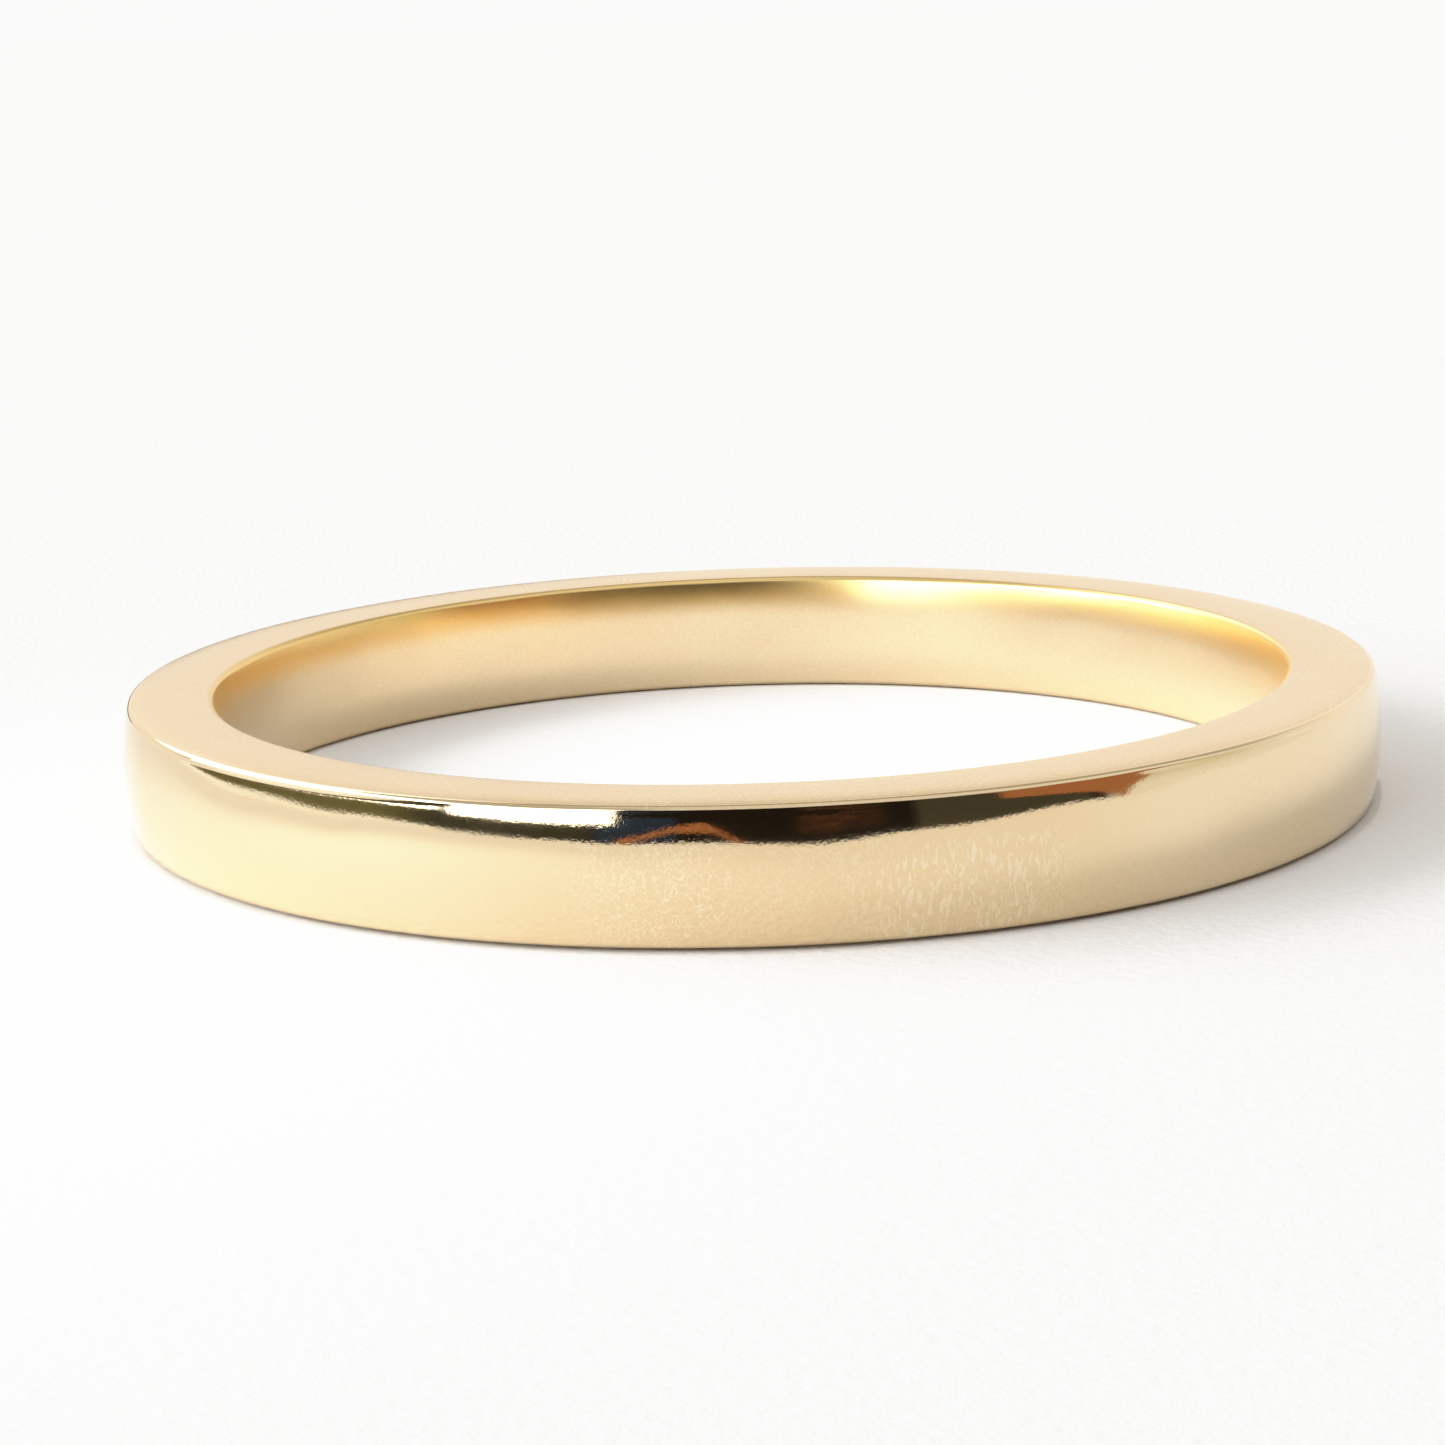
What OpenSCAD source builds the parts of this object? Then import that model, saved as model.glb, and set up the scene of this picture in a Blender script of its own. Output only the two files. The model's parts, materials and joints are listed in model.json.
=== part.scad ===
// Plain wedding band of solid yellow gold, lying flat on one side face.
// The ring's axis is +Z and the side face that it lies on is at z = 0.
// The cross-section is drawn with X as the distance from the axis and Y as the height
// above mid-width, and is then turned about the axis. It has a low dome outside, a flat
// face on each side, and inside a straight land with a curved flank at each end, which
// eases the band over the knuckle.

/* [Size] */
// Diameter of the finger hole, across the land
finger_d = 16.5; // [14:0.1:22]
// Width of the band along the finger
band_w = 2; // [1.6:0.1:4]
// Thickness of the metal at mid-width
wall = 1.5; // [1.2:0.05:2.2]

/* [Outside] */
// How far the middle of the outside stands proud of its edges
dome_rise = 0.12; // [0.04:0.01:0.2]
// Radius on the two outer edges
outer_edge_r = 0.1; // [0.06:0.01:0.2]

/* [Inside] */
// Length of the land, as a share of the band's width
land_share = 0.3; // [0.2:0.05:0.5]
// How far the land stands proud of the hole's two mouths
flank_rise = 0.08; // [0.03:0.01:0.12]
// Radius on the two inner edges
inner_edge_r = 0.12; // [0.06:0.01:0.2]

/* [Look] */
// Colour of the metal
metal = "#E2BF88"; // [#E2BF88:Yellow gold, #E4E1DB:White gold, #DDA68E:Rose gold]

/* [Hidden] */
$fn = 180;

bore_r = finger_d / 2;
outer_r = bore_r + wall;
half_w = band_w / 2;

// The dome is one arc, centred at mid-width.
dome_r = (half_w ^ 2 + dome_rise ^ 2) / (2 * dome_rise);
dome_x = outer_r - dome_r;

// Each flank is an arc that runs on from the end of the land without a corner.
land_half = land_share * half_w;
flank_w = half_w - land_half;
flank_r = (flank_w ^ 2 + flank_rise ^ 2) / (2 * flank_rise);
flank_x = bore_r + flank_r;

// An edge radius touches the side face, and passes through the dome or flank by a
// hair so that the two arcs cross cleanly.
hair = 0.00002;
outer_edge_y = half_w - outer_edge_r;
outer_edge_x = dome_x + sqrt((dome_r - outer_edge_r) ^ 2 - outer_edge_y ^ 2) + hair;
inner_edge_y = half_w - inner_edge_r;
inner_edge_x = flank_x - hair
    - sqrt((flank_r - inner_edge_r) ^ 2 - (inner_edge_y - land_half) ^ 2);

// Point at a distance from one point, towards or past another
function along(from, through, distance) =
    from + distance * (through - from) / norm(through - from);

module both_ends() {
    children();
    mirror([0, 1]) children();
}

// What a mouth takes from the section: all between the line of the land and the flank
module mouth() {
    difference() {
        translate([bore_r, land_half]) square([flank_r, flank_w]);
        translate([flank_x, land_half]) circle(flank_r);
    }
}

// The section before its edges are eased
module sharp_section() {
    difference() {
        intersection() {
            translate([bore_r, -half_w]) square([wall, band_w]);
            translate([dome_x, 0]) circle(dome_r);
        }
        both_ends() mouth();
    }
}

// What comes off a corner before its radius goes on: all that lies outside the line
// from where the radius meets the side face to where it meets the arc
module corner_cut(edge_x, arc_centre, arc_r, edge_centre, outside_x) {
    side_point = [edge_x, half_w];
    arc_point = along(arc_centre, edge_centre, arc_r);
    polygon([side_point, along(side_point, arc_point, wall / 2), [outside_x, half_w + wall]]);
}

module corner_cuts() {
    corner_cut(outer_edge_x, [dome_x, 0], dome_r, [outer_edge_x, outer_edge_y], outer_r + wall);
    corner_cut(inner_edge_x, [flank_x, land_half], flank_r, [inner_edge_x, inner_edge_y], bore_r - wall);
}

module edge_radii() {
    translate([outer_edge_x, outer_edge_y]) circle(outer_edge_r);
    translate([inner_edge_x, inner_edge_y]) circle(inner_edge_r);
}

module section() {
    difference() {
        sharp_section();
        both_ends() corner_cuts();
    }
    both_ends() edge_radii();
}

module band() {
    color(metal)
        translate([0, 0, half_w])
            rotate_extrude() section();
}

band();
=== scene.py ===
import json
import math

import bpy
from mathutils import Matrix, Vector, noise


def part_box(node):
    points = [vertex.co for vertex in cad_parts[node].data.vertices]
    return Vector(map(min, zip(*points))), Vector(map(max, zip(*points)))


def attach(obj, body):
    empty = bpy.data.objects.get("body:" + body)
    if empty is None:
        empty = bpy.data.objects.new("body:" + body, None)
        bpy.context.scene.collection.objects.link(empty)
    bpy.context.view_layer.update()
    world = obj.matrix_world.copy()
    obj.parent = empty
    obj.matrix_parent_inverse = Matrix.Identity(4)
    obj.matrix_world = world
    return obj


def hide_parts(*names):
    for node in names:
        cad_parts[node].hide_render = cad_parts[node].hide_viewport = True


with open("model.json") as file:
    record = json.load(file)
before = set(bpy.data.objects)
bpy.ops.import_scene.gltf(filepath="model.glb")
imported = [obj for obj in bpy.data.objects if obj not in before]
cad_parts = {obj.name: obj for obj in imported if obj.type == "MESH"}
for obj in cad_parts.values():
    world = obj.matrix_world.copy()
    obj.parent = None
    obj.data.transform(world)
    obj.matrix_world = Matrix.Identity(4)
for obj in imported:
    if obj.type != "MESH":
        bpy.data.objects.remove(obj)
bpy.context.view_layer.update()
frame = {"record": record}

MM = 0.001

# ---------------------------------------------------------------- the band's section
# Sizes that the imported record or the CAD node's own box gives
node_low, node_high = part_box("band")
bore = next(m for m in frame["record"]["mounts"] if m["kind"] == "bore")
OUTER_R = node_high.x
BAND_W = node_high.z - node_low.z
BASE_Z = node_low.z
MIDDLE_Z = BASE_Z + BAND_W / 2
BORE_R = bore["dims"]["r_mm"] * MM
LAND_HALF = bore["dims"]["length_mm"] * MM / 2

# The rest of the section, as the CAD model has it
DOME_RISE = 0.12 * MM
OUTER_EDGE_R = 0.10 * MM
FLANK_RISE = 0.08 * MM
INNER_EDGE_R = 0.12 * MM

# How far hand polishing has let each side face fall away at its two edges
SIDE_FALL_OUT = 0.030 * MM
SIDE_FALL_IN = 0.012 * MM
LOWER_FALL_OUT = 0.048 * MM  # on the side that the band lies on
FALL_FROM = 0.8  # share of the way from mid-width to the side face at which the fall begins

# Low waves that hand filing and buffing leave in the metal
WAVE_HEIGHT = 0.017 * MM
WAVE_LENGTH = 1.4 * MM
WAVE_START = Vector((24.9, 15.4, 20.6))
WAVE_INWARD = 0.6  # how far in the waves are set, as a share of their height
FLAT_SIDE_SHARE = 0.15  # how much of the waves the flat side faces keep

# A long place at the front left where the upper part of the outside is rubbed down further
RUB_DEPTH = 0.036 * MM
RUB_AT = -44.0  # degrees round from the front
RUB_REACH = 18.0  # degrees either way in which it fades
RUB_STEEPNESS = 1.5  # how it deepens from mid-width up, as a power

# Steps round the ring, and along each part of half the section
TURNS = 720
DOME_STEPS = 16
OUTER_EDGE_STEPS = 12
SIDE_STEPS = 14
INNER_EDGE_STEPS = 10
FLANK_STEPS = 12


def arc_radius(half_chord, rise):
    return (half_chord**2 + rise**2) / (2 * rise)


def arc(centre, radius, start, end, steps):
    """Points on an arc as (distance from the axis, height above mid-width), angles in radians."""
    angles = [start + (end - start) * i / steps for i in range(steps + 1)]
    return [(centre[0] + radius * math.cos(a), centre[1] + radius * math.sin(a)) for a in angles]


def eased(steps):
    """Values from 0 to 1 that crowd together at both ends."""
    return [(1 - math.cos(math.pi * i / steps)) / 2 for i in range(steps + 1)]


def upper_half(fall_out):
    """The section's outline from mid-width outside, over the upper side face, to mid-width inside."""
    half = BAND_W / 2
    dome_r = arc_radius(half, DOME_RISE)
    dome_x = OUTER_R - dome_r
    outer_y = half - OUTER_EDGE_R
    outer_x = dome_x + math.sqrt((dome_r - OUTER_EDGE_R) ** 2 - outer_y**2)
    dome_end = math.atan2(outer_y, outer_x - dome_x)

    flank_w = half - LAND_HALF
    flank_r = arc_radius(flank_w, FLANK_RISE)
    flank_x = BORE_R + flank_r
    inner_y = half - INNER_EDGE_R
    inner_x = flank_x - math.sqrt((flank_r - INNER_EDGE_R) ** 2 - (inner_y - LAND_HALF) ** 2)
    flank_end = math.atan2(inner_y - LAND_HALF, inner_x - flank_x)

    upright = math.pi / 2
    dome = arc((dome_x, 0), dome_r, 0, dome_end, DOME_STEPS)
    outer_edge = arc((outer_x, outer_y), OUTER_EDGE_R, dome_end, upright, OUTER_EDGE_STEPS)
    side = [(outer_x + (inner_x - outer_x) * s, half) for s in eased(SIDE_STEPS)]
    inner_edge = arc((inner_x, inner_y), INNER_EDGE_R, upright, flank_end, INNER_EDGE_STEPS)
    flank = arc((flank_x, LAND_HALF), flank_r, flank_end, math.pi, FLANK_STEPS)
    land = [(BORE_R, LAND_HALF / 2), (BORE_R, 0)]
    outline = dome + outer_edge[1:] + side[1:] + inner_edge[1:] + flank[1:] + land
    return [soften(r, y, outer_x, inner_x, fall_out) for r, y in outline]


def soften(r, y, outer_x, inner_x, fall_out):
    """Lets the upper part of the section fall away towards its two edges, as a cubic."""
    middle = (outer_x + inner_x) / 2
    reach = (outer_x - inner_x) / 2
    s = max(-1, min(1, (r - middle) / reach))
    fall = fall_out * max(s, 0) ** 3 + SIDE_FALL_IN * max(-s, 0) ** 3
    near_edge = max(0, min(1, (y / (BAND_W / 2) - FALL_FROM) / (1 - FALL_FROM)))
    return r, y - fall * near_edge


def section():
    """The whole closed outline, anticlockwise from mid-width outside."""
    upper = upper_half(SIDE_FALL_OUT)
    lower = [(r, -y) for r, y in reversed(upper_half(LOWER_FALL_OUT)[1:-1])]
    return upper + lower


def rubbed(point):
    """How deep the rubbed place is at a point: nothing below mid-width, most at the upper edge."""
    if math.hypot(point.x, point.y) < (BORE_R + OUTER_R) / 2:
        return 0.0
    degrees = math.degrees(math.atan2(point.x, -point.y))
    rise = max(0.0, (point.z - MIDDLE_Z) / (BAND_W / 2))
    return RUB_DEPTH * rise**RUB_STEEPNESS * math.exp(-(((degrees - RUB_AT) / RUB_REACH) ** 2))


def hand_finish(point, outward):
    """How far the metal is worn in, as a minus, or at most 0.01 mm out past the CAD model's surface."""
    share = 1 - (1 - FLAT_SIDE_SHARE) * abs(outward.z)
    wave = WAVE_HEIGHT * (noise.noise(point / WAVE_LENGTH + WAVE_START) - WAVE_INWARD)
    return share * (wave - rubbed(point))


def band_verts(outline):
    """The outline turned about the axis, one ring position after another."""
    count = len(outline)
    verts = []
    for i in range(TURNS):
        turn = Matrix.Rotation(2 * math.pi * i / TURNS, 3, "Z")
        for j, (r, y) in enumerate(outline):
            before = outline[j - 1]
            after = outline[(j + 1) % count]
            along = Vector((after[0] - before[0], 0, after[1] - before[1])).normalized()
            outward = Vector((along.z, 0, -along.x))
            place = turn @ Vector((r, 0, MIDDLE_Z + y))
            verts.append(place + turn @ outward * hand_finish(place, outward))
    return verts


def band_faces(count):
    """Four-sided faces between each turn of the outline and the next."""
    faces = []
    for i in range(TURNS):
        here = i * count
        onward = (i + 1) % TURNS * count
        for j in range(count):
            k = (j + 1) % count
            faces.append((here + j, onward + j, onward + k, here + k))
    return faces


def make_band():
    outline = section()
    faces = band_faces(len(outline))
    mesh = bpy.data.meshes.new("band_metal")
    mesh.from_pydata(band_verts(outline), [], faces)
    mesh.polygons.foreach_set("use_smooth", [True] * len(faces))
    mesh.update()
    made = bpy.data.objects.new("band_metal", mesh)
    bpy.context.scene.collection.objects.link(made)
    return made


# ---------------------------------------------------------------- node helpers
class Nodes:
    """Short ways to add nodes to one node tree. A value may be a number, a colour or a socket."""

    def __init__(self, tree):
        self.tree = tree
        tree.nodes.clear()

    def add(self, kind, inputs=None, **settings):
        made = self.tree.nodes.new(kind)
        for name, value in settings.items():
            setattr(made, name, value)
        for name, value in (inputs or {}).items():
            self.put(made.inputs[name], value)
        return made

    def put(self, socket, value):
        if isinstance(value, bpy.types.NodeSocket):
            self.tree.links.new(value, socket)
        else:
            socket.default_value = value

    def math(self, operation, *values):
        made = self.add("ShaderNodeMath", operation=operation)
        for socket, value in zip(made.inputs, values):
            self.put(socket, value)
        return made.outputs[0]

    def times(self, *values):
        product = values[0]
        for value in values[1:]:
            product = self.math("MULTIPLY", product, value)
        return product

    def total(self, *values):
        result = values[0]
        for value in values[1:]:
            result = self.math("ADD", result, value)
        return result

    def less(self, value, taken):
        return self.math("SUBTRACT", value, taken)

    def line(self, value, slope, offset):
        return self.math("MULTIPLY_ADD", value, slope, offset)

    def step(self, value, low, high, start=0.0, end=1.0):
        """A smooth change from start to end as value goes from low to high."""
        inputs = {"Value": value, "From Min": low, "From Max": high, "To Min": start, "To Max": end}
        return self.add("ShaderNodeMapRange", inputs, interpolation_type="SMOOTHSTEP").outputs[0]

    def above(self, value, limit, soft):
        return self.step(self.less(value, limit), -soft, soft)

    def between(self, value, low, high, soft):
        return self.times(self.above(value, low, soft), self.above(high, value, soft))

    def mix(self, factor, first, second):
        made = self.add("ShaderNodeMix", data_type="RGBA")
        for socket, value in ((0, factor), (6, first), (7, second)):
            self.put(made.inputs[socket], value)
        return made.outputs[2]

    def noise(self, vector, scale, detail=2.0, roughness=0.5, distortion=0.0):
        inputs = {"Vector": vector, "Scale": scale, "Detail": detail, "Roughness": roughness}
        inputs["Distortion"] = distortion
        return self.add("ShaderNodeTexNoise", inputs).outputs["Fac"]

    def stretched(self, vector, x, y, z):
        inputs = {"Vector": vector, "Scale": (x, y, z)}
        return self.add("ShaderNodeMapping", inputs).outputs[0]

    def object_place(self):
        return self.add("ShaderNodeTexCoord").outputs["Object"]

    def split(self, vector):
        return self.add("ShaderNodeSeparateXYZ", {"Vector": vector}).outputs


def rgb(red, green, blue):
    return (red, green, blue, 1.0)


# ---------------------------------------------------------------- yellow gold
GOLD = rgb(0.78, 0.612, 0.38)
GOLD_PALE = rgb(0.84, 0.715, 0.50)
GOLD_DEEP = rgb(0.74, 0.56, 0.325)
# A richer gold painted on the bore's upper flank: a painted reflection of the gold facing it
RICH_GOLD_PAINTED_REFLECTION = rgb(0.86, 0.615, 0.235)

# Places on the outside: degrees round from the front, then how far from there the
# mark is still full, and how far off it ends. Crazing and scuffs are wear. The two dulled
# places are slightly rougher, and their paler colour is a painted reflection of bright paper.
CRAZED = (-8.0, 0.7 * MM, 1.5 * MM)
SCUFFED = (16.5, 0.9 * MM, 2.1 * MM)
# Slightly duller places whose paler colour is a painted reflection of bright paper
DULL_AND_PAINTED_BRIGHT_LEFT = (-40.0, 2.0 * MM, 6.0 * MM)
DULL_AND_PAINTED_BRIGHT_RIGHT = (50.0, 2.0 * MM, 5.0 * MM)

# Noise scales, in cells a metre
PATCH_SCALE = 330.0
TONE_SCALE = 700.0
CRAZE_SCALE = 9500.0
SCUFF_SCALE = 17000.0
GRAIN_SCALE = 21000.0
PEEL_SCALE = 22000.0

SCUFF_WIDTH = 0.35  # how wide a scuff is, as a share of its height
SCUFFS_END = (0.25 * MM, 0.45 * MM)  # above mid-width, where the scuffs fade out
CRAZE_WIDTH = 0.05  # of its lines, in noise values
BUMP_DEPTH = 0.0005 * MM


def gold_surfaces(n, place):
    """Masks for the bore, what isn't bore, its upper flank, the flat side faces, and the outside."""
    x, y, z = n.split(place)
    radius = n.math("SQRT", n.total(n.times(x, x), n.times(y, y)))
    off_middle = n.math("ABSOLUTE", n.less(z, MIDDLE_Z))
    inside = n.step(radius, BORE_R + 0.10 * MM, BORE_R + 0.17 * MM, 1.0, 0.0)
    not_inside = n.less(1.0, inside)
    upper_flank = n.times(inside, n.step(z, MIDDLE_Z + 0.3 * MM, MIDDLE_Z + 0.8 * MM))
    side_height = n.step(off_middle, BAND_W / 2 - 0.09 * MM, BAND_W / 2 - 0.05 * MM)
    side_reach = n.step(radius, OUTER_R - 0.21 * MM, OUTER_R - 0.18 * MM, 1.0, 0.0)
    side = n.times(side_height, side_reach, not_inside)
    outside = n.times(not_inside, n.less(1.0, side))
    return inside, not_inside, upper_flank, side, outside


def near(n, place, degrees, full, none):
    """One at a spot on the outside, falling to nothing at a distance from it."""
    angle = math.radians(degrees)
    spot = (OUTER_R * math.sin(angle), -OUTER_R * math.cos(angle), MIDDLE_Z)
    away = n.add("ShaderNodeVectorMath", {0: place, 1: spot}, operation="DISTANCE")
    return n.step(away.outputs["Value"], full, none, 1.0, 0.0)


def gold_scuffs(n, place, patches, not_inside):
    """Fine upright scuffs on the lower part of the outside."""
    z = n.split(place)[2]
    where = n.math("MAXIMUM", near(n, place, *SCUFFED), n.step(patches, 0.44, 0.32, 0.0, 0.4))
    low_down = n.step(z, MIDDLE_Z + SCUFFS_END[0], MIDDLE_Z + SCUFFS_END[1], 1.0, 0.0)
    upright = n.stretched(place, 1.0, 1.0, SCUFF_WIDTH)
    marks = n.step(n.noise(upright, SCUFF_SCALE, distortion=0.8), 0.52, 0.62)
    return n.times(marks, where, low_down, not_inside)


def gold_crazing(n, place, patches, not_inside):
    """Fine pale lines, where the noise passes through its middle value."""
    where = n.math("MAXIMUM", near(n, place, *CRAZED), n.step(patches, 0.52, 0.66, 0.0, 0.5))
    off_line = n.math("ABSOLUTE", n.less(n.noise(place, CRAZE_SCALE, 1.5), 0.5))
    return n.times(n.step(off_line, 0.0, CRAZE_WIDTH, 1.0, 0.0), where, not_inside)


def gold_material():
    """Polished outside, satin on the side faces and softer inside, with small patches of wear. Two
    paler places on the outside and a richer gold on the bore's upper flank are painted reflections.
    """
    material = bpy.data.materials.new("polished_yellow_gold")
    material.use_nodes = True
    n = Nodes(material.node_tree)
    place = n.object_place()
    inside, not_inside, upper_flank, side, outside = gold_surfaces(n, place)
    tone = n.noise(place, TONE_SCALE, 3.0)
    patches = n.noise(place, PATCH_SCALE, 1.0)
    grain = n.noise(place, GRAIN_SCALE, 3.0, 0.6)
    peel = n.noise(place, PEEL_SCALE, 2.0, 0.55)
    scuffs = gold_scuffs(n, place, patches, not_inside)
    crazing = gold_crazing(n, place, patches, not_inside)
    # Where the outside is slightly duller and painted paler, as a painted reflection
    dull_and_painted_bright = n.math("MAXIMUM", near(n, place, *DULL_AND_PAINTED_BRIGHT_LEFT), near(n, place, *DULL_AND_PAINTED_BRIGHT_RIGHT))
    dull_and_painted_bright = n.times(dull_and_painted_bright, outside)

    colour = n.mix(n.step(tone, 0.3, 0.7, 0.0, 0.35), GOLD, GOLD_DEEP)
    # The bore's upper flank painted a richer gold, as a painted reflection of the gold facing it
    colour = n.mix(upper_flank, colour, RICH_GOLD_PAINTED_REFLECTION)
    colour = n.mix(n.times(n.less(inside, upper_flank), 0.6), colour, GOLD_PALE)
    colour = n.mix(n.step(grain, 0.35, 0.65, 0.0, 0.4), colour, GOLD_DEEP)
    # Paler gold at the two dulled places: a painted reflection that stands in for brighter paper
    # mirrored there
    colour = n.mix(n.times(dull_and_painted_bright, 0.5), colour, GOLD_PALE)
    colour = n.mix(n.times(scuffs, 0.8), colour, GOLD_PALE)
    colour = n.mix(n.times(crazing, 0.9), colour, GOLD_PALE)

    roughness = n.total(
        n.step(patches, 0.3, 0.7, 0.035, 0.06),
        n.times(side, n.step(grain, 0.3, 0.7, 0.12, 0.20)),
        n.times(inside, 0.25),
        n.times(dull_and_painted_bright, 0.025),
        n.times(scuffs, 0.06),
    )

    height = n.total(peel, n.times(crazing, 0.12), n.times(side, grain, 1.5))
    bump = n.add("ShaderNodeBump", {"Height": height, "Strength": 1.0, "Distance": BUMP_DEPTH})

    shader = n.add(
        "ShaderNodeBsdfPrincipled",
        {"Base Color": colour, "Metallic": 1.0, "Roughness": roughness, "Normal": bump.outputs[0]},
    )
    n.add("ShaderNodeOutputMaterial", {"Surface": shader.outputs[0]})
    return material


# ---------------------------------------------------------------- floor
FLOOR_R = 3.0
FLOOR_SIDES = 96
PAPER_DARK = rgb(0.75, 0.75, 0.75)
PAPER_LIGHT = rgb(0.81, 0.81, 0.81)
FIBRE_SCALE = 5000.0  # cells a metre
FIBRE_DEPTH = 0.03 * MM


def paper_material():
    material = bpy.data.materials.new("white_paper")
    material.use_nodes = True
    n = Nodes(material.node_tree)
    fibres = n.noise(n.object_place(), FIBRE_SCALE, 3.0, 0.6)
    tint = n.mix(fibres, PAPER_DARK, PAPER_LIGHT)
    bump = n.add("ShaderNodeBump", {"Height": fibres, "Strength": 0.7, "Distance": FIBRE_DEPTH})
    shader = n.add(
        "ShaderNodeBsdfPrincipled",
        {"Base Color": tint, "Roughness": 0.9, "Specular IOR Level": 0.0, "Normal": bump.outputs[0]},
    )
    n.add("ShaderNodeOutputMaterial", {"Surface": shader.outputs[0]})
    return material


def make_floor():
    angles = [2 * math.pi * i / FLOOR_SIDES for i in range(FLOOR_SIDES)]
    rim = [(FLOOR_R * math.cos(a), FLOOR_R * math.sin(a), BASE_Z) for a in angles]
    mesh = bpy.data.meshes.new("floor")
    mesh.from_pydata(rim, [], [tuple(range(FLOOR_SIDES))])
    mesh.materials.append(paper_material())
    floor = bpy.data.objects.new("floor", mesh)
    bpy.context.scene.collection.objects.link(floor)


# ---------------------------------------------------------------- light
# Soft pools of light on the paper: centre (x, y), reach, softness of the lamp, power
POOLS = {
    "left_pool": ((-13.0 * MM, -9 * MM), 15 * MM, 10 * MM, 2.0),
    "hole_pool": ((2.8 * MM, 1.5 * MM), 7.2 * MM, 6 * MM, 2.8),
}
LAMP_HEIGHT = 300 * MM

# The studio as the gold sees it
WINDOW = rgb(6.6, 6.6, 6.6)
WINDOW_TOP = rgb(0.6, 0.6, 0.6)
PANEL = rgb(2.4, 2.4, 2.4)
BACKDROP_LOW = rgb(1.09, 1.03, 0.95)
BACKDROP_HIGH = rgb(0.52, 0.48, 0.39)
CEILING = rgb(0.9, 0.9, 0.9)
SIDE_WALL_LOW = rgb(0.97, 0.95, 0.91)
SIDE_WALL = rgb(0.68, 0.63, 0.40)
SIDE_WALL_HIGH = rgb(0.95, 0.95, 0.95)
DARK = rgb(0.016, 0.013, 0.011)
DARK_OLIVE = rgb(0.045, 0.045, 0.030)
OLIVE = rgb(0.15, 0.14, 0.06)
SHELF = rgb(0.065, 0.062, 0.046)
CLOTH = rgb(0.024, 0.042, 0.082)
WARM = rgb(0.42, 0.18, 0.08)
WARM_DIM = rgb(0.13, 0.06, 0.03)
PAPER = rgb(1.25, 1.25, 1.22)
SEEN_BACKGROUND = rgb(1.025, 1.015, 1.0)  # as bright as the floor, so that no horizon shows

# Patches of it: left, right, bottom and top, then how soft the upright and level edges are.
# Left and right are bearings in degrees from the front, minus to the left. Bottom and top
# are heights in degrees above the floor.
STREAKED_WOOD_PATCH = (9.0, 20.0, 4.0, 12.0, 3.0, 2.0)
SHELF_PATCH = (27.0, 60.0, -2.0, 60.0, 1.2, 0.5)
CLOTH_PATCH = (-27.0, -13.0, -1.0, 12.0, 1.2, 0.5)
PANEL_PATCH = (-165.0, -116.0, 20.0, 50.0, 1.5, 1.5)
GAP_PATCH = (-178.0, -150.0, -1.0, 4.0, 2.0, 0.8)


class Studio(Nodes):
    """Nodes for the world, which know each direction's bearing and height in degrees."""

    def __init__(self, tree):
        super().__init__(tree)
        x, y, z = self.split(self.add("ShaderNodeTexCoord").outputs["Generated"])
        degrees = 180 / math.pi
        self.height = self.times(self.math("ARCSINE", z), degrees)
        self.bearing = self.times(self.math("ARCTAN2", x, self.times(y, -1.0)), degrees)

    def patch(self, left, right, bottom, top, soft=1.2, edge=0.5):
        across = self.between(self.bearing, left, right, soft)
        return self.times(across, self.between(self.height, bottom, top, edge))


def dark_room(n):
    """In front: a shelf, blue cloth with a warm ridge before it, and a bright ceiling."""
    flattened = n.add("ShaderNodeCombineXYZ", {"X": n.times(n.bearing, 0.2), "Y": n.height})
    streaks = n.step(n.noise(flattened.outputs[0], 1.3), 0.45, 0.6)
    colour = n.mix(n.step(n.bearing, -30.0, -24.0), DARK_OLIVE, DARK)
    colour = n.mix(n.step(n.bearing, -55.0, -72.0), colour, OLIVE)
    colour = n.mix(n.times(n.patch(*STREAKED_WOOD_PATCH), streaks), colour, WARM_DIM)
    colour = n.mix(n.patch(*SHELF_PATCH), colour, SHELF)
    colour = n.mix(n.patch(*CLOTH_PATCH), colour, CLOTH)
    ridge_top = n.math("MINIMUM", n.line(n.bearing, 0.42, 11.5), n.line(n.bearing, -1.35, -2.9))
    ridge_bottom = n.math("MINIMUM", n.less(ridge_top, 2.0), 3.8)
    colour = n.mix(n.patch(-24.0, 0.0, ridge_bottom, ridge_top, 0.8, 0.4), colour, WARM)
    return n.mix(n.step(n.height, 28.0, 42.0), colour, CEILING)


def pale_walls(n, colour):
    """A pale wall on the right with warm wood at its near end, a backdrop, a bright ceiling."""
    wall_dip = n.times(n.step(n.height, 0.0, 12.0), n.step(n.bearing, 118.0, 76.0))
    side_wall = n.mix(wall_dip, SIDE_WALL_LOW, SIDE_WALL)
    side_wall = n.mix(n.step(n.height, 22.0, 40.0), side_wall, SIDE_WALL_HIGH)
    colour = n.mix(n.step(n.bearing, 62.0, 67.0), colour, side_wall)
    wood_bottom = n.math("MAXIMUM", n.line(n.bearing, -0.43, 28.8), n.line(n.bearing, 1.2, -80.5))
    colour = n.mix(n.patch(43.0, 80.0, wood_bottom, 30.0, 1.5, 0.6), colour, WARM)
    backdrop = n.mix(n.step(n.height, 20.0, 44.0), BACKDROP_LOW, BACKDROP_HIGH)
    off_front = n.math("ABSOLUTE", n.bearing)
    colour = n.mix(n.step(off_front, 108.0, 130.0), colour, backdrop)
    return n.mix(n.step(n.height, 62.0, 76.0), colour, CEILING)


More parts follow.
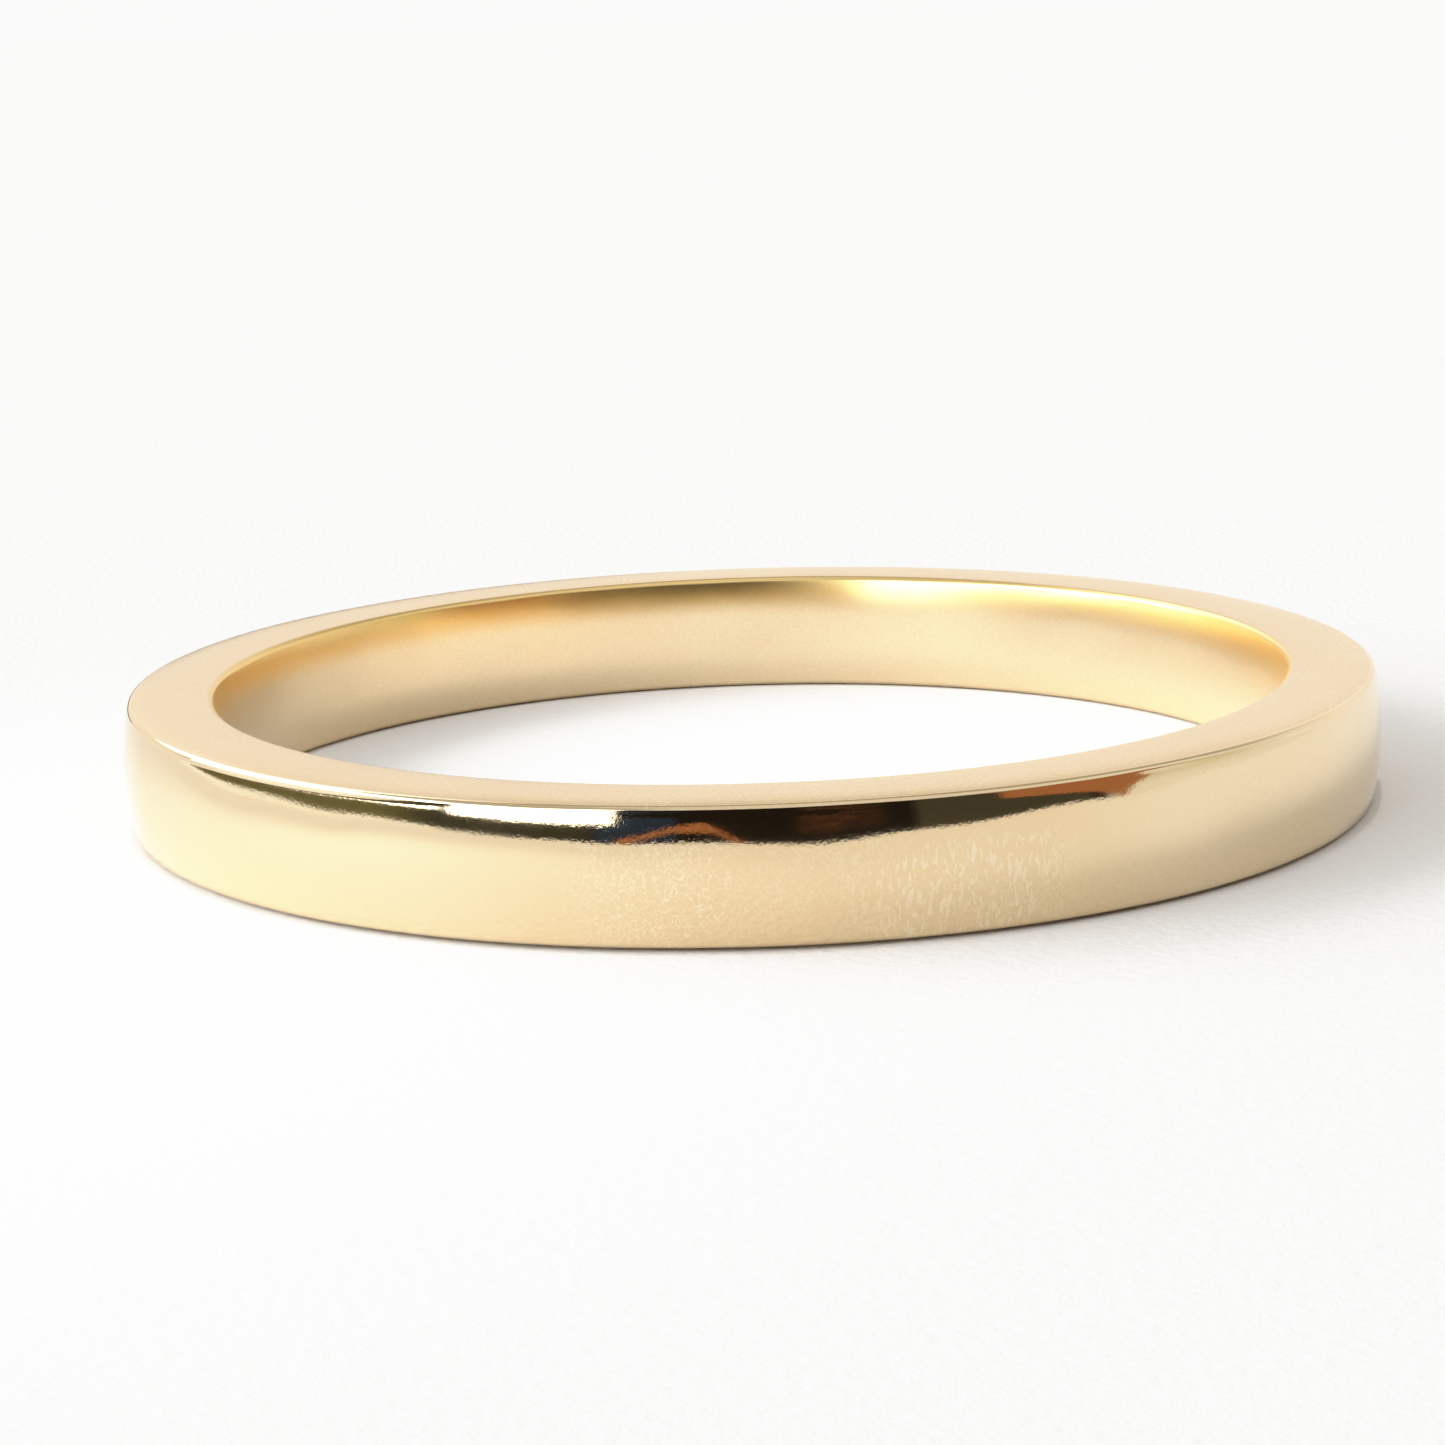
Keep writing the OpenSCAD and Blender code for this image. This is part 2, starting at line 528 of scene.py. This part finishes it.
def window(n, colour):
    """Two panes on the left with a bar between them. They fade towards the top."""
    sill = n.line(n.bearing, 0.06, 13.0)
    bar_right = n.line(n.math("MINIMUM", n.height, 15.0), -0.4, -50.5)
    left_pane = n.patch(-118.0, -57.0, sill, 75.0)
    right_pane = n.patch(bar_right, -25.2, 6.4, 75.0)
    fade_from = n.step(n.bearing, -60.0, -75.0, 22.0, 34.0)
    top = n.step(n.less(n.height, fade_from), 0.0, 18.0)
    panes = n.math("MAXIMUM", left_pane, right_pane)
    return n.mix(panes, colour, n.mix(top, WINDOW, WINDOW_TOP))


def studio_colour(n):
    """A window on the left, a dark room in front, and a pale wall on the right and behind."""
    colour = window(n, pale_walls(n, dark_room(n)))
    # A white panel at the back left, and the dark gap between the backdrop and the paper
    colour = n.mix(n.patch(*PANEL_PATCH), colour, PANEL)
    colour = n.mix(n.patch(*GAP_PATCH), colour, DARK_OLIVE)
    # The white paper curls up a little at its left end
    curl_top = n.math("MINIMUM", n.line(n.bearing, -0.03, -1.0), 1.5)
    return n.mix(n.patch(-125.0, -55.0, -5.0, curl_top, 3.0, 0.3), colour, PAPER)


def make_pools():
    """Spots that shine straight down. The gold doesn't mirror the lamps, only what they light."""
    for name, (place, reach, softness, power) in POOLS.items():
        lamp = bpy.data.lights.new(name, "SPOT")
        lamp.energy = power
        lamp.spot_size = 2 * math.atan(reach / LAMP_HEIGHT)
        lamp.spot_blend = 1.0
        lamp.shadow_soft_size = softness
        pool = bpy.data.objects.new(name, lamp)
        pool.location = (place[0], place[1], LAMP_HEIGHT)
        pool.visible_glossy = False
        bpy.context.scene.collection.objects.link(pool)


def make_world():
    """The studio lights the scene. The camera itself sees a plain pale background."""
    world = bpy.data.worlds.new("studio")
    bpy.context.scene.world = world
    world.use_nodes = True
    n = Studio(world.node_tree)
    lit = n.add("ShaderNodeBackground", {"Color": studio_colour(n), "Strength": 1.0})
    seen = n.add("ShaderNodeBackground", {"Color": SEEN_BACKGROUND, "Strength": 1.0})
    camera_ray = n.add("ShaderNodeLightPath").outputs["Is Camera Ray"]
    both = n.add("ShaderNodeMixShader", {0: camera_ray, 1: lit.outputs[0], 2: seen.outputs[0]})
    n.add("ShaderNodeOutputWorld", {"Surface": both.outputs[0]})


# ---------------------------------------------------------------- camera and tone
CAMERA_DISTANCE = 54.1 * MM  # from the middle of the upper side face
CAMERA_HEIGHT = math.radians(10.77)
CAMERA_PAN = math.radians(-0.47)
CAMERA_TILT = math.radians(-0.96)
CAMERA_ROLL = math.radians(-1.81)
LENS = 86.1
SENSOR = 36.0

KNEE = 0.85  # brightness above which the tone curve begins to bend
WHITE = 2.6  # brightness that comes out as full white
TONE_POINTS = (0.4, 0.65, KNEE, 0.92, 1.0, 1.1, 1.25, 1.5, 2.0)


def make_camera():
    data = bpy.data.cameras.new("camera")
    data.lens = LENS
    data.sensor_width = SENSOR
    data.clip_start = 1 * MM
    data.clip_end = 10.0
    camera = bpy.data.objects.new("camera", data)
    bpy.context.scene.collection.objects.link(camera)
    back = Vector((0, -math.cos(CAMERA_HEIGHT), math.sin(CAMERA_HEIGHT)))
    target = Vector((0, 0, BASE_Z + BAND_W))
    aim = (
        Matrix.Rotation(math.pi / 2 - CAMERA_HEIGHT, 4, "X")
        @ Matrix.Rotation(-CAMERA_PAN, 4, "Y")
        @ Matrix.Rotation(CAMERA_TILT, 4, "X")
        @ Matrix.Rotation(CAMERA_ROLL, 4, "Z")
    )
    camera.matrix_world = Matrix.Translation(target + back * CAMERA_DISTANCE) @ aim
    bpy.context.scene.camera = camera


def film_tone(value):
    if value < KNEE:
        return value
    room = 1 - KNEE
    return KNEE + room * (1 - math.exp((KNEE - value) / room))


def set_tone():
    """Bright parts roll off softly towards white, as a camera shows them."""
    view = bpy.context.scene.view_settings
    view.view_transform = "Standard"
    view.use_curve_mapping = True
    mapping = view.curve_mapping
    mapping.white_level = (WHITE, WHITE, WHITE)
    combined = mapping.curves[3]
    for value in TONE_POINTS:
        combined.points.new(value / WHITE, film_tone(value))
    mapping.update()


make_camera()
make_world()
make_pools()
make_floor()
set_tone()

band = make_band()
band.data.materials.append(gold_material())
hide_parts("band")
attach(band, "root")
